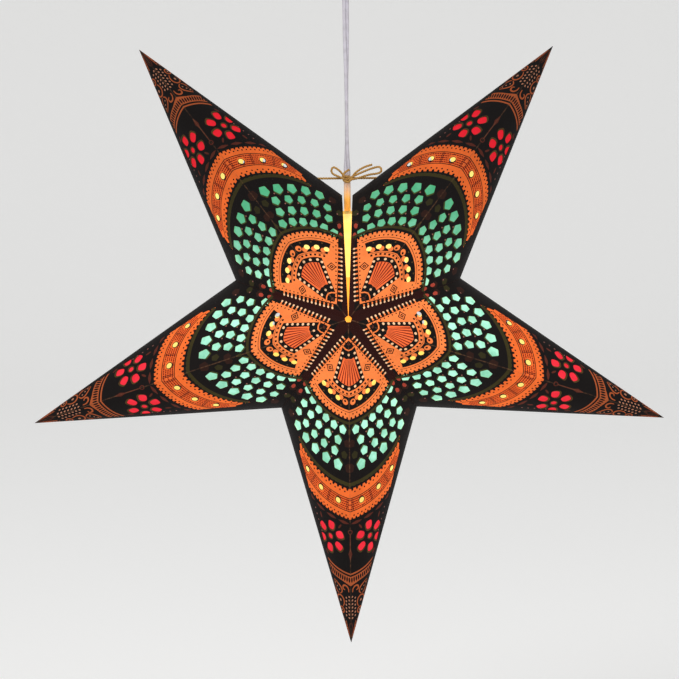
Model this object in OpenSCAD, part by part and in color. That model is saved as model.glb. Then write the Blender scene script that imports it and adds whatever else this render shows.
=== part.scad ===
// Hanging paper star lantern.
// Five points of printed card, each folded from one sheet, are glued flap to flap round a lamp.
// The seam at the top stays open for the lamp, and two strings tie it shut above the lampholder.
// +Z is up, -Y is the front, and the origin is where the ceiling rose meets the ceiling.

/* [Star] */
// Distance from the middle of the star to each tip
tip_r = 320; // [280:1:360]
// Distance from the middle of the star to each valley between two points
valley_r = 112; // [104:1:120]
// Height of the front and the back above the middle plane
half_depth = 115; // [105:1:125]
// Angle from one point to the next; what is left of the circle is the open seam
pitch = 71; // [70.6:0.1:71.2]
// Slope of a panel where it leaves the ridge fold
ridge_slope = 35; // [30:1:40]
// Thickness of the printed card
card_t = 0.6; // [0.4:0.1:0.9]
// Width of the glue flaps along the seams
flap_w = 10; // [7:0.5:12]
// Film of glue between two flaps and behind the tissue
glue_t = 0.1; // [0.05:0.05:0.2]
// Hole in the front and the back where the snipped corners meet
centre_hole_d = 6; // [6:0.5:12]

/* [Flower windows] */
// Distance of a flower from the tip, along the ridge
flower_along = 109.5; // [105:0.5:113]
// Distance of a flower from the ridge fold
flower_across = 24; // [22:0.5:26]
// Radius of the ring that the petals sit on
petal_ring_r = 12.5; // [12:0.5:14]
// Turn of the petals from the ridge fold
petal_turn = -6; // [-15:1:15]
// Length of a petal
petal_l = 10; // [8:0.5:11]
// Width of a petal
petal_w = 8.6; // [7:0.2:10]
// Diameter of the hole in the middle of a flower
flower_eye_d = 6; // [4:0.5:8]

/* [Punched holes] */
// Diameter of the holes in the outer band
band_hole_d = 6; // [4:0.5:8]
// Distance from the tip to the outer band's arc, along the ridge
band_along = 150.5; // [148:0.5:153]
// Radius of the outer band's arc
band_r = 81; // [76:1:86]
// Angle between the holes of the outer band
band_step = 15.8; // [15:0.1:16.5]
// Diameter of the holes in the inner panel
panel_hole_d = 5.6; // [4:0.2:6.4]
// Distance from the tip to the inner panel's arc of holes, along the ridge
panel_along = 256.5; // [254:0.5:258]
// Radius of the inner panel's arc of holes
panel_r = 38.4; // [36:0.2:40]
// Angle between the holes of the inner panel
panel_step = 14.3; // [13.6:0.1:15]

/* [Lattice windows] */
// Distance from the tip to the first row of cells, along the ridge
lattice_along = 188.5; // [186:0.5:190]
// Distance from each row of cells to the next
row_gap = 12.7; // [12.2:0.1:13]
// Radius of the first row's arc
first_row_r = 97; // [93:1:101]
// How much each row's radius is less than the one before
row_shrink = 14.7; // [14:0.1:15.4]
// Size of a cell across its corners
cell_d = 11.4; // [9:0.1:12]

/* [Tissue] */
// Thickness of the coloured tissue behind the windows
tissue_t = 0.3; // [0.2:0.1:0.5]
// How far the tissue reaches past the middles of the outermost windows
tissue_lap = 9; // [7:0.5:10]
// Distance from the tip to the middle of the two arcs that the green tissue is cut along
green_middle = 268; // [264:1:272]

/* [Cord] */
// Height of the ceiling above the middle of the star
drop = 350; // [330:1:400]
// Width of the flat twin cord
cord_w = 6.4; // [5:0.1:7]
// Thickness of the flat twin cord
cord_t = 3.3; // [2.6:0.1:3.6]
// Room for the cord in a bush
cord_gap = 0.25; // [0.1:0.05:0.4]
// Diameter of a bush's sleeve
bush_d = 9; // [8.6:0.1:10]
// Length of a bush's sleeve
bush_l = 8; // [5:0.5:10]
// Diameter of a bush's flange
bush_flange_d = 11.5; // [11:0.5:13]
// Thickness of a bush's flange
bush_flange_t = 2.6; // [2:0.1:3]
// Clearance between parts that are fitted by hand
fit_gap = 0.2; // [0.1:0.05:0.3]

/* [Lampholder] */
// Gap between the flaps at the top seam and the top of the lampholder
holder_gap = 5; // [4:0.5:8]
// Diameter of the cap
cap_d = 34; // [33:0.5:38]
// Height of the cap
cap_h = 24; // [18:1:28]
// Radius of the cap's round shoulder
cap_round = 11; // [6:0.5:11]
// Diameter of the skirt
skirt_d = 36; // [35:0.5:40]
// Height of the skirt
skirt_h = 36; // [32:1:40]
// Diameter of the spigot that joins the skirt to the cap
spigot_d = 26; // [22:0.5:28]
// Height of that spigot
spigot_h = 5; // [3:0.5:8]
// Thickness of the skirt's closed end
skirt_end_t = 6; // [4:0.5:8]

/* [Bulb] */
// Diameter of the glass globe
globe_d = 45; // [40:1:60]
// Diameter of the screw base
base_d = 26; // [24:0.5:27]
// Length of the screw base
base_l = 26; // [24:1:28]
// Length of the neck between the base and the middle of the globe
neck_l = 28; // [26:1:34]
// Diameter of the contact at the end of the base
contact_d = 9; // [6:1:12]
// Height of that contact
contact_h = 3; // [2:0.5:4]

/* [Tie strings] */
// Diameter of the string
string_d = 2.2; // [1.6:0.1:2.4]
// Height of the tie holes above the valley
tie_rise = 16; // [8:0.5:20]
// How far the tie holes lie in front of the middle plane
tie_front = 4; // [3:0.5:5]
// Diameter of the knot of the bow
knot_d = 7.4; // [6.4:0.2:8]
// Diameter of the stop knot inside each tie hole
stop_d = 5; // [4.6:0.2:6]

/* [Ceiling rose] */
// Diameter of the base
rose_d = 84; // [76:1:96]
// Thickness of the base
rose_base_t = 6; // [5:0.5:8]
// Distance between the two screw holes
screw_spacing = 51; // [48:0.5:58]
// Diameter of the screw holes
screw_hole_d = 4.6; // [4:0.1:5]
// Diameter of the hole that the house cable comes in by
cable_hole_d = 14; // [10:1:16]
// Distance of that hole from the middle
cable_hole_y = 24; // [22:0.5:26]
// Height of the cover
cover_h = 36; // [32:1:42]
// Wall of the cover
cover_t = 2.2; // [1.6:0.1:3]
// Radius of the cover's round edge
cover_round = 20; // [10:1:20]
// Length of the terminal block
terminal_l = 30; // [24:1:34]
// Width of the terminal block
terminal_w = 16; // [14:1:18]
// Height of the terminal block
terminal_h = 13; // [11:0.5:15]

/* [Hidden] */
$fn = 48;

// Places of the points round the star, counted from the lowest one
BOTTOM = 0;
RIGHT = 1;
UPPER_RIGHT = 2;
LEFT = -1;
UPPER_LEFT = -2;

// Colours of the pieces
card_colour = [0.17, 0.09, 0.06];
green_colour = [0.35, 0.85, 0.62];
red_colour = [0.95, 0.16, 0.22];
white_colour = [0.93, 0.91, 0.88];
cord_colour = [0.86, 0.84, 0.86];
glass_colour = [1, 0.9, 0.65];
string_colour = [0.74, 0.55, 0.27];
dark_colour = [0.12, 0.11, 0.11];

// A point tapers evenly to its tip, so its section is given for one unit of distance from the tip
half_pitch = pitch / 2;
side_w = valley_r * sin(half_pitch) / (tip_r - valley_r * cos(half_pitch));
ridge_d = half_depth / tip_r;
shoulder_d = ridge_d - side_w * tan(ridge_slope);
strips = 4;
function section(t) = [(2 * (1 - t) * t + t * t) * side_w,
  (1 - t) * (1 - t) * ridge_d + 2 * (1 - t) * t * shoulder_d];
quarter = [for (i = [0:strips]) section(i / strips)];
outline = concat([for (i = [0:strips - 1]) quarter[i]],
  [for (i = [strips:-1:1]) [quarter[i].x, -quarter[i].y]],
  [for (i = [0:strips - 1]) -quarter[i]],
  [for (i = [strips:-1:1]) [-quarter[i].x, quarter[i].y]]);

// Shift of a point along its own axis that moves its panels in by a given thickness
function shift_for(thickness) = thickness * sqrt(1 + side_w * side_w) / side_w;
wall_shift = shift_for(card_t);
flap_shift = shift_for(flap_w);
function seam_r(shift) = side_w * (tip_r - shift) / (sin(half_pitch) + side_w * cos(half_pitch));
flap_inner_r = seam_r(flap_shift);

// The panel from the ridge to the side line is a fan of flat strips, unrolled about the tip
function unit(v) = v / norm(v);
rays = [for (q = quarter) unit([-1, q.x, q.y])];
function ray_angle(i) = i == 0 ? 0 : ray_angle(i - 1) + acos(rays[i - 1] * rays[i]);
ray_angles = [for (i = [0:strips]) ray_angle(i)];
function strip_at(angle) = max([for (i = [0:strips - 1]) if (angle >= ray_angles[i]) i]);
function strip_normal(i) = unit(cross(rays[i + 1], rays[i]));
function strip_across(i) = cross(rays[i], strip_normal(i));

// Spot on the flat sheet at an angle round an arc that crosses the ridge fold
function arc_spot(along, r, angle) = [along + r - r * cos(angle), r * sin(angle)];

// Outlines of the windows
petal_turns = 6;
petal_corners = 8;
petal = [for (i = [0:petal_corners - 1]) let (a = (i + 0.5) * 360 / petal_corners)
  [petal_l / 2 * cos(a), petal_w / 2 * sin(a)] / cos(180 / petal_corners)];
cell_corners = 5;
cell_squash = 0.82;
cell = [for (i = [0:cell_corners - 1]) let (a = i * 360 / cell_corners)
  cell_d / 2 * [cos(a), cell_squash * sin(a)] / cell_squash];
hole_corners = 8;
holes_a_side = 3;
band_first = 0.62;
panel_first = 1.34;
row_count = 4;
row_cells = [5, 5, 5, 6];
row_start = [8, 12, 11.2, 8.2];
row_step = [8.5, 9.2, 10.4, 11.2];
row_scale = [0.97, 0.8, 0.8, 0.78];
function cell_turn(row, i) = row_start[row] + i * row_step[row];
function cell_spot(row, i) = arc_spot(lattice_along + row * row_gap, first_row_r - row * row_shrink,
  cell_turn(row, i));
cut_depth = 12;

// Where a spot of the flat sheet comes to lie, from the tip
function folded(spot) = let (angle = atan2(spot.y, spot.x), i = strip_at(angle))
  norm(spot) * (cos(angle - ray_angles[i]) * rays[i] + sin(angle - ray_angles[i]) * strip_across(i));

// Stretch of a point, measured along its axis, that the red tissue covers
axial_share = 1 / sqrt(1 + ridge_d * ridge_d);
red_from = (flower_along - petal_ring_r - petal_l / 2) * axial_share - tissue_lap / 2;
red_to = (norm([flower_along, flower_across]) + petal_ring_r + petal_l / 2) * axial_share + tissue_lap / 2;

// Arcs, seen from the front, that the green tissue is cut along.
// The outer one takes in the valleys, so that the front and the back of the band hang together.
function from_middle(spot) = let (at = folded(spot)) norm([at.x + green_middle, at.y]);
valley_reach = norm([valley_r * cos(half_pitch) - tip_r + green_middle, valley_r * sin(half_pitch)]);
green_outer_r = max(from_middle(cell_spot(0, 0)), valley_reach + tissue_lap) + tissue_lap;
green_inner_r = from_middle(cell_spot(row_count - 1, row_cells[row_count - 1] - 1)) - tissue_lap;

// Heights of the lamp's parts above the middle of the star
holder_top = flap_inner_r - holder_gap;
cap_bottom = holder_top - cap_h;
skirt_bottom = cap_bottom - skirt_h;
socket_top = cap_bottom - skirt_end_t;
socket_d = base_d + 4 * fit_gap;
base_top = socket_top - fit_gap - contact_h;
base_bottom = base_top - base_l;
globe_z = base_bottom - neck_l;

// Heights of the rose's parts under the ceiling
cover_d = rose_d + 2 * fit_gap + 2 * cover_t;
terminal_bottom = rose_base_t + terminal_h;
bush_hole_d = bush_d + 2 * fit_gap;
cord_top = terminal_bottom + fit_gap;
cord_bottom = drop - holder_top + bush_l;

// The tie holes sit where the side line of an upper point passes the height of the tie
seam_open = 180 - 5 * half_pitch;
tie_z = valley_r + tie_rise;
tie_slope = tip_r * [sin(seam_open + half_pitch), cos(seam_open + half_pitch)]
  - valley_r * [sin(seam_open), cos(seam_open)];
tie_x = valley_r * sin(seam_open) + (tie_z - valley_r * cos(seam_open)) * tie_slope.x / tie_slope.y;
knot_y = -(cord_t / 2 + knot_d / 2 + fit_gap);
string_sides = 8;
string_steps = 4;
stop_reach = 2 * (stop_d / 2 + card_t + glue_t + tissue_t + fit_gap) + tie_front / 4;

// Routes of the bow's loops and ends, right of the knot, in front of it and above it.
// Each starts, and a loop ends, at the angle at which it leaves the knot.
left_loop = [150, [-7, 0, 7], [-12.5, 0, 10.5], [-14.8, 0, 8], [-13.6, 0, 4.4], [-8, 0, 1.6], 197];
right_loop = [8, [12, 0, 4.6], [22, 5, 8.6], [30, 10, 10.4], [32.4, 11, 7.5], [30, 10, 4.6],
  [20, 5, 3], [10, 0, 0], -38];
right_end = [55, [8, 0, 7], [16, 0, 10.5], [24, 0, 12.8]];
left_end = [103, [0.6, 0, 5.6], [2.4, 0, 8.2]];
bow_front = 1.1 * string_d;
bow_clear = bow_front - string_d / 2;
bow_root_r = sqrt(knot_d * knot_d / 4 - bow_clear * bow_clear) + 3 * fit_gap;

// Carries its children to the star: the flat star's top and front become up and forward
module star_frame() {
  translate([0, 0, -drop]) rotate([90, 0, 0]) children();
}

module point_frame(place) {
  star_frame() rotate([0, 0, 270 + place * pitch]) children();
}

// Solid pyramid with the point's section and its apex on the axis, moved in by a shift
module pyramid(shift) {
  reach = tip_r + 2 * half_depth;
  count = len(outline);
  polyhedron(
    points = concat([[tip_r - shift, 0, 0]],
      [for (q = outline) [tip_r - shift - reach, reach * q.x, reach * q.y]]),
    faces = concat([for (i = [0:count - 1]) [0, 1 + i, 1 + (i + 1) % count]], [[for (i = [count:-1:1]) i]]));
}

// Sector of the star that one point fills, less an inset along both seams
module sector(inset) {
  reach = 2 * tip_r;
  corner = inset / sin(half_pitch);
  linear_extrude(4 * half_depth, center = true)
    polygon([[corner, 0], [reach, (reach - corner) * tan(half_pitch)],
      [reach, (corner - reach) * tan(half_pitch)]]);
}

// Cuts a flat outline through one panel, square to the strip that its spot lies on
module window(spot) {
  i = strip_at(atan2(spot.y, spot.x));
  e = rays[i];
  f = strip_across(i);
  n = strip_normal(i);
  multmatrix([[e.x, f.x, n.x, tip_r], [e.y, f.y, n.y, 0], [e.z, f.z, n.z, 0], [0, 0, 0, 1]])
    rotate([0, 0, -ray_angles[i]]) translate([spot.x, spot.y, 0])
      linear_extrude(cut_depth, center = true) children();
}

module flower_windows() {
  flower = [flower_along, flower_across];
  window(flower) circle(d = flower_eye_d, $fn = petal_corners);
  for (i = [0:petal_turns - 1]) {
    turn = petal_turn + i * 360 / petal_turns;
    window(flower + petal_ring_r * [cos(turn), sin(turn)]) rotate(turn) polygon(petal);
  }
}

module punched_holes() {
  for (i = [0:holes_a_side - 1]) {
    window(arc_spot(band_along, band_r, (i + band_first) * band_step))
      circle(d = band_hole_d, $fn = hole_corners);
    window(arc_spot(panel_along, panel_r, (i + panel_first) * panel_step))
      circle(d = panel_hole_d, $fn = hole_corners);
  }
}

module lattice_windows() {
  for (row = [0:row_count - 1], i = [0:row_cells[row] - 1])
    window(cell_spot(row, i)) rotate(-cell_turn(row, i)) scale(row_scale[row]) polygon(cell);
}

module panel_windows() {
  for (side = [0, 1], face = [0, 1])
    mirror([0, side, 0]) mirror([0, 0, face]) {
      flower_windows();
      punched_holes();
      lattice_windows();
    }
}

// One point: folded card with a flap along each of its two seams
module point(place) {
  color(card_colour) point_frame(place) difference() {
    intersection() {
      pyramid(0);
      sector(glue_t / 2);
    }
    intersection() {
      pyramid(wall_shift);
      sector(glue_t / 2 + card_t);
    }
    pyramid(flap_shift);
    cylinder(d = centre_hole_d, h = 4 * half_depth, center = true);
    panel_windows();
  }
}

// Hole for a tie string, through the card and the tissue of an upper point
module tie_hole(side) {
  translate([side * tie_x, -tie_front, tie_z - drop]) rotate([0, 90, 0])
    cylinder(d = string_d + 2 * cord_gap, h = 2 * tie_x, center = true);
}

module tied_point(place, side) {
  color(card_colour) difference() {
    point(place);
    tie_hole(side);
  }
}

// Sheet of tissue that lines a point all over, before it is cut to its band
module tissue_lining() {
  intersection() {
    difference() {
      pyramid(shift_for(card_t + glue_t));
      pyramid(shift_for(card_t + glue_t + tissue_t));
    }
    sector(glue_t * 1.5 + card_t);
  }
}

// Band of tissue behind the lattice, clear of the punched holes on both sides of it
module green_tissue(place) {
  color(green_colour) point_frame(place) intersection() {
    tissue_lining();
    translate([tip_r - green_middle, 0, 0]) linear_extrude(4 * half_depth, center = true) intersection() {
      difference() {
        circle(green_outer_r);
        circle(green_inner_r);
      }
      translate([0, -tip_r]) square([tip_r, 2 * tip_r]);
    }
  }
}

module tied_green_tissue(place, side) {
  color(green_colour) difference() {
    green_tissue(place);
    tie_hole(side);
  }
}

// Band of tissue behind the flowers
module red_tissue(place) {
  color(red_colour) point_frame(place) intersection() {
    tissue_lining();
    translate([tip_r - red_to, -tip_r, -tip_r]) cube([red_to - red_from, 2 * tip_r, 2 * tip_r]);
  }
}

// Flat section of the twin cord, grown by a gap
module cord_section(gap) {
  offset_x = (cord_w - cord_t) / 2;
  for (side = [-1, 1]) translate([side * offset_x, 0]) circle(d = cord_t + 2 * gap);
  square([2 * offset_x, 0.6 * cord_t + 2 * gap], center = true);
}

// Section of a turned piece with a round outer edge at its top, hanging from the origin
module round_top(d, h, round_r) {
  translate([0, -h]) square([d / 2, h - round_r]);
  translate([0, -h]) square([d / 2 - round_r, h]);
  intersection() {
    translate([d / 2 - round_r, -round_r]) circle(round_r);
    translate([0, -h]) square([d / 2, h]);
  }
}

// Flanged bush with its sleeve pointing down from the origin and its flange above
module bush() {
  difference() {
    union() {
      cylinder(d = bush_flange_d, h = bush_flange_t);
      translate([0, 0, -bush_l]) cylinder(d = bush_d, h = bush_l + bush_flange_t / 2);
    }
    translate([0, 0, -2 * bush_l]) linear_extrude(4 * bush_l) cord_section(cord_gap);
  }
}

module rose_base() {
  color(white_colour) difference() {
    translate([0, 0, -rose_base_t]) cylinder(d = rose_d, h = rose_base_t);
    for (side = [-1, 1]) translate([side * screw_spacing / 2, 0, -2 * rose_base_t])
      cylinder(d = screw_hole_d, h = 3 * rose_base_t);
    translate([0, cable_hole_y, -2 * rose_base_t]) cylinder(d = cable_hole_d, h = 3 * rose_base_t);
  }
}

module rose_cover() {
  color(white_colour) rotate([180, 0, 0]) translate([0, 0, cover_h]) difference() {
    rotate_extrude() round_top(cover_d, cover_h, cover_round);
    translate([0, 0, -cover_t]) rotate_extrude()
      round_top(cover_d - 2 * cover_t, cover_h, cover_round - cover_t);
    cylinder(d = bush_hole_d, h = 4 * cover_t, center = true);
  }
}

module terminal_block() {
  color(dark_colour) translate([-terminal_l / 2, -terminal_w / 2, -terminal_bottom])
    cube([terminal_l, terminal_w, terminal_h]);
}

module rose_bush() {
  color(dark_colour) translate([0, 0, -cover_h]) rotate([180, 0, 0]) bush();
}

module lamp_cord() {
  color(cord_colour) translate([0, 0, -cord_bottom])
    linear_extrude(cord_bottom - cord_top) cord_section(0);
}

module holder_bush() {
  color(dark_colour) translate([0, 0, holder_top - drop]) bush();
}

module holder_cap() {
  color(white_colour) translate([0, 0, holder_top - drop]) difference() {
    rotate_extrude() round_top(cap_d, cap_h, cap_round);
    translate([0, 0, -bush_l - fit_gap]) cylinder(d = bush_hole_d, h = 2 * bush_l);
    translate([0, 0, -2 * cap_h]) cylinder(d = spigot_d + 2 * fit_gap, h = cap_h + spigot_h + fit_gap);
  }
}

module holder_skirt() {
  color(white_colour) translate([0, 0, -drop]) difference() {
    union() {
      translate([0, 0, skirt_bottom]) cylinder(d = skirt_d, h = skirt_h);
      translate([0, 0, cap_bottom - spigot_h]) cylinder(d = spigot_d, h = 2 * spigot_h);
    }
    translate([0, 0, skirt_bottom - skirt_h]) cylinder(d = socket_d, h = skirt_h + socket_top - skirt_bottom);
  }
}

// The bulb is sealed: glass globe and neck on a screw base
module bulb() {
  color(glass_colour) translate([0, 0, -drop]) rotate_extrude() {
    translate([0, base_bottom]) square([base_d / 2, base_l]);
    translate([0, base_top]) square([contact_d / 2, contact_h]);
    polygon([[0, globe_z], [globe_d * 0.45, globe_z], [base_d / 2, base_bottom], [0, base_bottom]]);
    intersection() {
      translate([0, globe_z]) circle(d = globe_d);
      translate([0, globe_z - globe_d]) square([globe_d, 2 * globe_d]);
    }
  }
}

// Smooth curve through a list of points
function curve(p, i, t) = let (a = p[max(i - 1, 0)], b = p[i], c = p[i + 1], d = p[min(i + 2, len(p) - 1)])
  0.5 * (2 * b + (c - a) * t + (2 * a - 5 * b + 4 * c - d) * t * t + (3 * b - a - 3 * c + d) * t * t * t);
function smooth(p) = concat(
  [for (i = [0:len(p) - 2], k = [0:string_steps - 1]) curve(p, i, k / string_steps)],
  [p[len(p) - 1]]);

// Round string along a route that keeps to a plane facing the front
module string(route) {
  path = smooth(route);
  last = len(path) - 1;
  rings = [for (i = [0:last])
    let (way = unit(path[min(i + 1, last)] - path[max(i - 1, 0)]),
      across = unit(cross(way, [0, 1, 0])),
      out = cross(across, way))
    for (k = [0:string_sides - 1]) let (a = k * 360 / string_sides)
      path[i] + string_d / 2 * (cos(a) * across + sin(a) * out)];
  polyhedron(points = rings, faces = concat(
    [[for (k = [string_sides - 1:-1:0]) k]],
    [for (i = [0:last - 1], k = [0:string_sides - 1]) let (next = (k + 1) % string_sides)
      [i * string_sides + k, i * string_sides + next,
        (i + 1) * string_sides + next, (i + 1) * string_sides + k]],
    [[for (k = [0:string_sides - 1]) last * string_sides + k]]));
}

// String from the knot through its hole, with a stop knot behind the card
module tie_string(side) {
  hole = [side * tie_x, -tie_front, tie_z - drop];
  knot = [0, knot_y, tie_z - drop];
  start = knot + (knot_d / 2 + fit_gap) * unit(hole - knot);
  stop = hole + [side * stop_reach, 0, 0];
  color(string_colour) {
    string([start, (start + hole) / 2, hole, stop]);
    translate(stop) sphere(d = stop_d);
  }
}

module bow_loops() {
  color(string_colour) for (route = [left_loop, right_loop, right_end, left_end])
    string([for (spot = route) let (at = is_num(spot) ? bow_root_r * [cos(spot), 0, sin(spot)] : spot)
      [at.x, knot_y - bow_front - at.y, tie_z - drop + at.z]]);
}

module bow_knot() {
  color(string_colour) translate([0, knot_y, tie_z - drop]) sphere(d = knot_d);
}

point(BOTTOM);  // point_bottom
point(RIGHT);  // point_right
tied_point(UPPER_RIGHT, 1);  // point_upper_right
point(LEFT);  // point_left
tied_point(UPPER_LEFT, -1);  // point_upper_left
green_tissue(BOTTOM);  // green_tissue_bottom
green_tissue(RIGHT);  // green_tissue_right
tied_green_tissue(UPPER_RIGHT, 1);  // green_tissue_upper_right
green_tissue(LEFT);  // green_tissue_left
tied_green_tissue(UPPER_LEFT, -1);  // green_tissue_upper_left
red_tissue(BOTTOM);  // red_tissue_bottom
red_tissue(RIGHT);  // red_tissue_right
red_tissue(UPPER_RIGHT);  // red_tissue_upper_right
red_tissue(LEFT);  // red_tissue_left
red_tissue(UPPER_LEFT);  // red_tissue_upper_left
rose_base();
rose_cover();
terminal_block();
rose_bush();
lamp_cord();
holder_bush();
holder_cap();
holder_skirt();
bulb();
tie_string(-1);  // tie_string_left
tie_string(1);  // tie_string_right
bow_loops();
bow_knot();
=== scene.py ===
# Paper star lantern: the finished look over the CAD frame. Metres, +Z up, the ceiling at z = 0.
# The file follows the lantern as it is put together: rose, cord, lamp, card, tissue, strings, studio.
import math

import bpy
import numpy as np
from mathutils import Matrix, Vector
from mathutils.geometry import delaunay_2d_cdt


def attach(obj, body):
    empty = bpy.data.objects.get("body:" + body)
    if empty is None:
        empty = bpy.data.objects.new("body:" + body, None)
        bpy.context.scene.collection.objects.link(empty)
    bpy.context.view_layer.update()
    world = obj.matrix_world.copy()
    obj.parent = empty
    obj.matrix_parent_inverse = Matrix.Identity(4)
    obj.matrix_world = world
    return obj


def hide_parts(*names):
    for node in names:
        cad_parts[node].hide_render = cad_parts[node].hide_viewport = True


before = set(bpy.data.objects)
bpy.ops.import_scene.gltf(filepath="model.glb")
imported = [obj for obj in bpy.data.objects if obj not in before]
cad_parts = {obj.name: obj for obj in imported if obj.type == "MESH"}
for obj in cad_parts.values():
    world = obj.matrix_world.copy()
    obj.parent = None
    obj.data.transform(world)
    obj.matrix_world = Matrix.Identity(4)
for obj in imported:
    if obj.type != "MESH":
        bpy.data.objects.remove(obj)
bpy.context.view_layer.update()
bpy.ops.object.select_all(action="DESELECT")


# Ceiling rose: a base and a screwed cover moulded in white plastic, a black terminal block inside and a
# rubber bush round the cord. Moulded skins are a little uneven and pick up dust, rubber is dull.
def ink(red, green, blue):
    """A colour as it shows on screen, 0 to 255, in linear light."""
    shown = [red / 255, green / 255, blue / 255]
    return [c / 12.92 if c < 0.04045 else ((c + 0.055) / 1.055) ** 2.4 for c in shown]


def moulded(name, dark, light, rough, grain, bump):
    """A material that drifts between two colours in clouds and has a fine uneven skin."""
    made = bpy.data.materials.new(name)
    made.use_nodes = True
    nodes, links = made.node_tree.nodes, made.node_tree.links
    skin = nodes["Principled BSDF"]
    skin.inputs["Roughness"].default_value = rough
    place = nodes.new("ShaderNodeTexCoord")
    cloud = nodes.new("ShaderNodeTexNoise")
    cloud.inputs["Scale"].default_value = grain
    cloud.inputs["Detail"].default_value = 5
    links.new(place.outputs["Object"], cloud.inputs["Vector"])
    tones = nodes.new("ShaderNodeValToRGB")
    tones.color_ramp.elements[0].position = 0.32
    tones.color_ramp.elements[0].color = (*dark, 1)
    tones.color_ramp.elements[1].position = 0.6
    tones.color_ramp.elements[1].color = (*light, 1)
    links.new(cloud.outputs[0], tones.inputs["Fac"])
    links.new(tones.outputs["Color"], skin.inputs["Base Color"])
    pits = nodes.new("ShaderNodeTexNoise")
    pits.inputs["Scale"].default_value = grain * 14
    links.new(place.outputs["Object"], pits.inputs["Vector"])
    relief = nodes.new("ShaderNodeBump")
    relief.inputs["Strength"].default_value = 0.35
    relief.inputs["Distance"].default_value = bump
    links.new(pits.outputs[0], relief.inputs["Height"])
    links.new(relief.outputs["Normal"], skin.inputs["Normal"])
    return made


white_moulding = moulded("white_moulding", ink(231, 228, 221), ink(239, 236, 230), 0.38, 60, 0.00015)
black_moulding = moulded("black_moulding", ink(24, 23, 24), ink(40, 38, 38), 0.55, 90, 0.0002)
bush_rubber = moulded("bush_rubber", ink(22, 22, 22), ink(38, 37, 36), 0.8, 120, 0.0002)
for node, look in [("rose_base", white_moulding), ("rose_cover", white_moulding),
                   ("terminal_block", black_moulding), ("rose_bush", bush_rubber)]:
    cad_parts[node].data.materials[0] = look


# Lamp cord: flat twin flex, two cores side by side in one satin sheath with a groove between them. It
# hangs taut from the rose to the lampholder, has half a turn in it and is lit golden at the star.
cord_wide, cord_thick = 0.0064, 0.0033
cord_top, cord_foot = -0.0192, -0.2638
cord_rings = 200
core_r = cord_thick / 2
core_x = cord_wide / 2 - core_r
groove = math.pi - math.acos(core_x / core_r)
core_arc = np.linspace(-groove, groove, 15)
cord_outline = np.array([[core_x + core_r * math.cos(a), core_r * math.sin(a)] for a in core_arc]
                        + [[-core_x - core_r * math.cos(a), -core_r * math.sin(a)] for a in core_arc])
twist_at = [cord_top, -0.045, -0.085, -0.125, -0.155, -0.188, -0.203, -0.216, cord_foot]
twist_by = [0, 0, 28, 74, 88, 98, 122, 180, 180]
golden_from, golden_full, golden_level = -0.216, -0.242, 0.45


def ring_faces(count, size, start=0):
    """Faces of a tube of count rings of size points each, numbered from start, with both ends capped."""
    faces = []
    for i in range(count - 1):
        for k in range(size):
            p, q = start + i * size + k, start + i * size + (k + 1) % size
            faces.append((p, q, q + size, p + size))
    faces.append([start + k for k in range(size)][::-1])
    faces.append([start + (count - 1) * size + k for k in range(size)])
    return faces


def closed_piece(name, points, faces, smooth_below):
    """A piece from points and faces, its faces turned outwards and its edges smooth below that angle."""
    mesh = bpy.data.meshes.new(name)
    mesh.from_pydata([tuple(p) for p in points], [], faces)
    piece = bpy.data.objects.new(name, mesh)
    bpy.context.collection.objects.link(piece)
    bpy.context.view_layer.objects.active = piece
    piece.select_set(True)
    bpy.ops.object.mode_set(mode="EDIT")
    bpy.ops.mesh.select_all(action="SELECT")
    bpy.ops.mesh.normals_make_consistent(inside=False)
    bpy.ops.object.mode_set(mode="OBJECT")
    bpy.ops.object.shade_smooth_by_angle(angle=math.radians(smooth_below))
    piece.select_set(False)
    return piece


cord_path, cord_points = [], []
for z in np.linspace(cord_top, cord_foot, cord_rings):
    turn = math.radians(np.interp(-z, [-t for t in twist_at], twist_by))
    cord_path.append((0, 0, z))
    c, s = math.cos(turn), math.sin(turn)
    cord_points += [(x * c - y * s, x * s + y * c, z) for x, y in cord_outline]
flex = closed_piece("twin_flex", cord_points, ring_faces(cord_rings, len(cord_outline)), 50)
flex_sheath = moulded("flex_sheath", ink(196, 192, 200), ink(214, 210, 220), 0.42, 150, 0.0001)
sheath_nodes, sheath_links = flex_sheath.node_tree.nodes, flex_sheath.node_tree.links
sheath_tone = sheath_nodes["Color Ramp"]
sheath_place = sheath_nodes["Texture Coordinate"]
sheath_skin = sheath_nodes["Principled BSDF"]
along_cord = sheath_nodes.new("ShaderNodeSeparateXYZ")
sheath_links.new(sheath_place.outputs["Object"], along_cord.inputs["Vector"])
lamp_reach = sheath_nodes.new("ShaderNodeMapRange")
lamp_reach.inputs["From Min"].default_value = golden_from
lamp_reach.inputs["From Max"].default_value = golden_full
sheath_links.new(along_cord.outputs["Z"], lamp_reach.inputs["Value"])
golden = sheath_nodes.new("ShaderNodeMix")
golden.data_type = "RGBA"
golden.inputs["B"].default_value = (*ink(255, 184, 84), 1)
sheath_links.new(lamp_reach.outputs["Result"], golden.inputs["Factor"])
sheath_links.new(sheath_tone.outputs["Color"], golden.inputs["A"])
sheath_links.new(golden.outputs["Result"], sheath_skin.inputs["Base Color"])
sheath_links.new(golden.outputs["Result"], sheath_skin.inputs["Emission Color"])
lamp_glow = sheath_nodes.new("ShaderNodeMath")
lamp_glow.operation = "MULTIPLY"
lamp_glow.inputs[1].default_value = golden_level
sheath_links.new(lamp_reach.outputs["Result"], lamp_glow.inputs[0])
sheath_links.new(lamp_glow.outputs[0], sheath_skin.inputs["Emission Strength"])
flex.data.materials.append(flex_sheath)
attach(flex, "root")
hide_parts("lamp_cord")


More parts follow.
